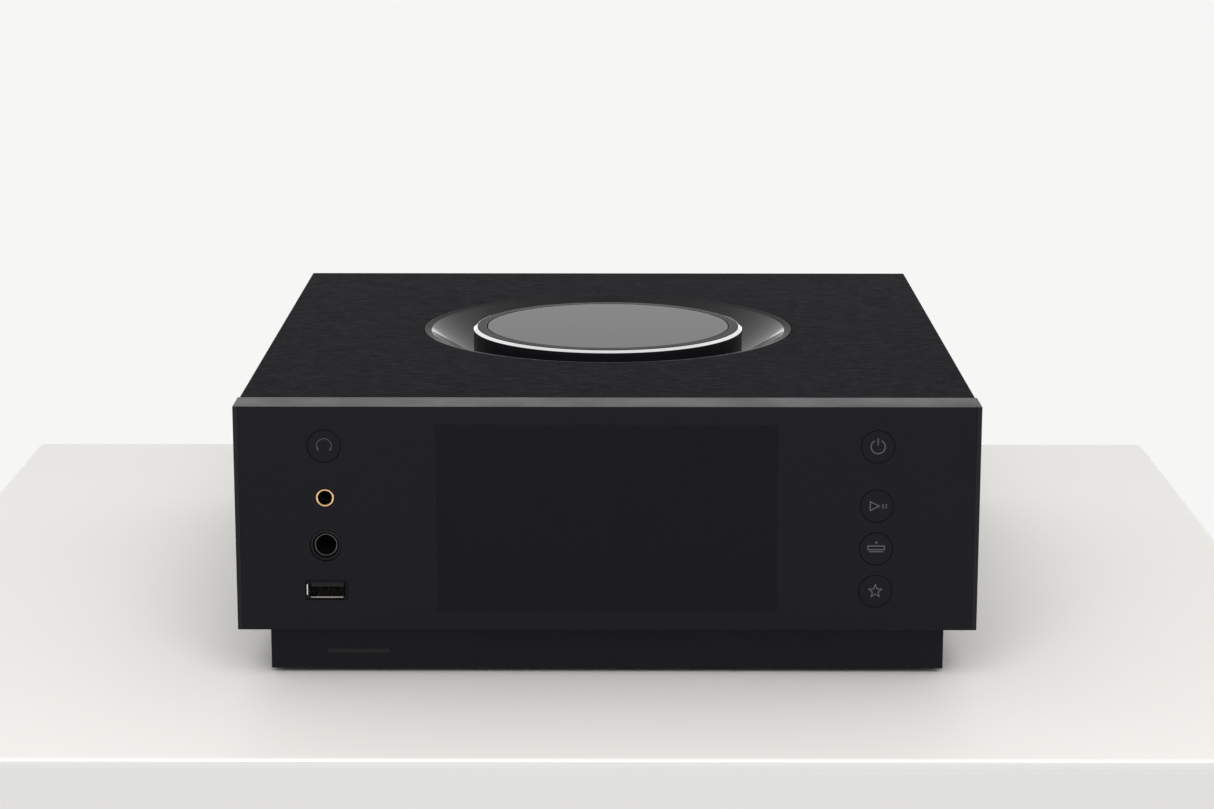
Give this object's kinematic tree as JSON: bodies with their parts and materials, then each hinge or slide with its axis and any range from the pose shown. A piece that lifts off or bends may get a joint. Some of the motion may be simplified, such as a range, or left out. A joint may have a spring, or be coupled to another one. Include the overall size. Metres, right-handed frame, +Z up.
{
  "type": "digital audio player",
  "caption": "Mains-powered desktop digital audio player with display fascia, buttons, headphone and data sockets, finned sides and a large turning volume dial in a dished recess.",
  "frame": {"origin": "centre of the overall box at table height", "axes": "+X to the right seen from the front, +Y to the rear, +Z up; the fascia faces -Y"},
  "size_m": [0.245, 0.265, 0.095],
  "materials": {
    "cover_black": "brushed and black anodised",
    "fascia_black": "satin black",
    "window_black": "smoked",
    "heatsink_black": "black anodised",
    "plinth_black": "satin black",
    "bowl_black": "gloss",
    "dial_black": "satin black anodised",
    "dial_glass": "gloss",
    "polished_rim": "polished",
    "diffuser": "translucent",
    "rubber": "matt",
    "zinc_steel": "zinc plated",
    "black_steel": "black",
    "bearing_steel": "polished",
    "bare_aluminium": "machined",
    "gold_plate": "gold plated",
    "nickel_plate": "nickel plated",
    "black_plastic": "moulded",
    "circuit_board": "solder resist",
    "winding": "taped winding on a steel core",
    "capacitor_sleeve": "sleeved can",
    "wire_grey": "insulated wire"
  },
  "bodies": {
    "case": {"base_tray": "zinc_steel", "plinth": "plinth_black", "status_window": "diffuser", "rubber_feet": "rubber", "bulkhead": "zinc_steel", "left_heatsink": "heatsink_black", "right_heatsink": "heatsink_black", "case_screws": "black_steel", "top_cover": "cover_black", "dial_bowl": "bowl_black", "front_fascia": "fascia_black", "front_panel": "fascia_black", "display_window": "window_black", "display_module": "black_plastic", "front_board": "circuit_board", "button_switches": "black_plastic", "button_carrier": "black_plastic", "balanced_jack_ring": "gold_plate", "balanced_jack_body": "black_plastic", "headphone_jack_bush": "black_plastic", "headphone_jack_body": "black_plastic", "usb_shell": "nickel_plate", "usb_tongue": "black_plastic", "socket_board": "circuit_board", "bearing_inner_race": "bearing_steel", "bearing_retainer": "bare_aluminium", "dial_hub": "bare_aluminium", "dial_lens": "dial_glass", "dial_light_ring": "diffuser", "dial_board": "circuit_board", "transformer": "winding", "transformer_pads": "rubber", "transformer_clamp": "zinc_steel", "power_board": "circuit_board", "reservoir_capacitors": "capacitor_sleeve", "main_board": "circuit_board", "shield_can": "zinc_steel", "amplifier_board": "circuit_board", "output_transistors": "black_plastic", "rear_panel": "plinth_black", "mains_inlet": "black_plastic", "connector_pins": "nickel_plate", "switch_body": "black_plastic", "phono_barrels": "gold_plate", "phono_housings": "black_plastic", "balanced_outputs": "nickel_plate", "optical_sockets": "black_plastic", "network_socket": "nickel_plate", "aerial_sockets": "gold_plate", "internal_cables": "wire_grey"},
    "dial": {"dial_wheel": "dial_black", "dial_rim": "polished_rim", "bearing_outer_race": "bearing_steel"},
    "ball_cage": {"bearing_balls": "bearing_steel"},
    "headphone_key": {"headphone_button": "fascia_black"},
    "power_key": {"power_button": "fascia_black"},
    "play_key": {"play_button": "fascia_black"},
    "input_key": {"input_button": "fascia_black"},
    "favourite_key": {"favourite_button": "fascia_black"},
    "rocker": {"power_rocker": "black_plastic"}
  },
  "joints": [
    {"name": "dial_turn", "type": "hinge", "parent": "case", "child": "dial", "pos_m": [0, 0.0093, 0.0844], "axis": [0, 0, 1], "continuous": true},
    {"name": "cage_turn", "type": "hinge", "parent": "case", "child": "ball_cage", "pos_m": [0, 0.0093, 0.0844], "axis": [0, 0, 1], "continuous": true},
    {"name": "headphone_press", "type": "slide", "parent": "case", "child": "headphone_key", "axis": [0, 1, 0], "range_m": [0, 0.0006], "stiffness_N_per_m": 400, "springref_m": -0.001},
    {"name": "power_press", "type": "slide", "parent": "case", "child": "power_key", "axis": [0, 1, 0], "range_m": [0, 0.0006], "stiffness_N_per_m": 400, "springref_m": -0.001},
    {"name": "play_press", "type": "slide", "parent": "case", "child": "play_key", "axis": [0, 1, 0], "range_m": [0, 0.0006], "stiffness_N_per_m": 400, "springref_m": -0.001},
    {"name": "input_press", "type": "slide", "parent": "case", "child": "input_key", "axis": [0, 1, 0], "range_m": [0, 0.0006], "stiffness_N_per_m": 400, "springref_m": -0.001},
    {"name": "favourite_press", "type": "slide", "parent": "case", "child": "favourite_key", "axis": [0, 1, 0], "range_m": [0, 0.0006], "stiffness_N_per_m": 400, "springref_m": -0.001},
    {"name": "rocker_tip", "type": "hinge", "parent": "case", "child": "rocker", "pos_m": [-0.082, 0.1228, 0.07], "axis": [1, 0, 0], "range_deg": [-18, 0]}
  ],
  "couplings": [
    {"joint": "cage_turn", "follows": "dial_turn", "ratio": 0.5263}
  ]
}
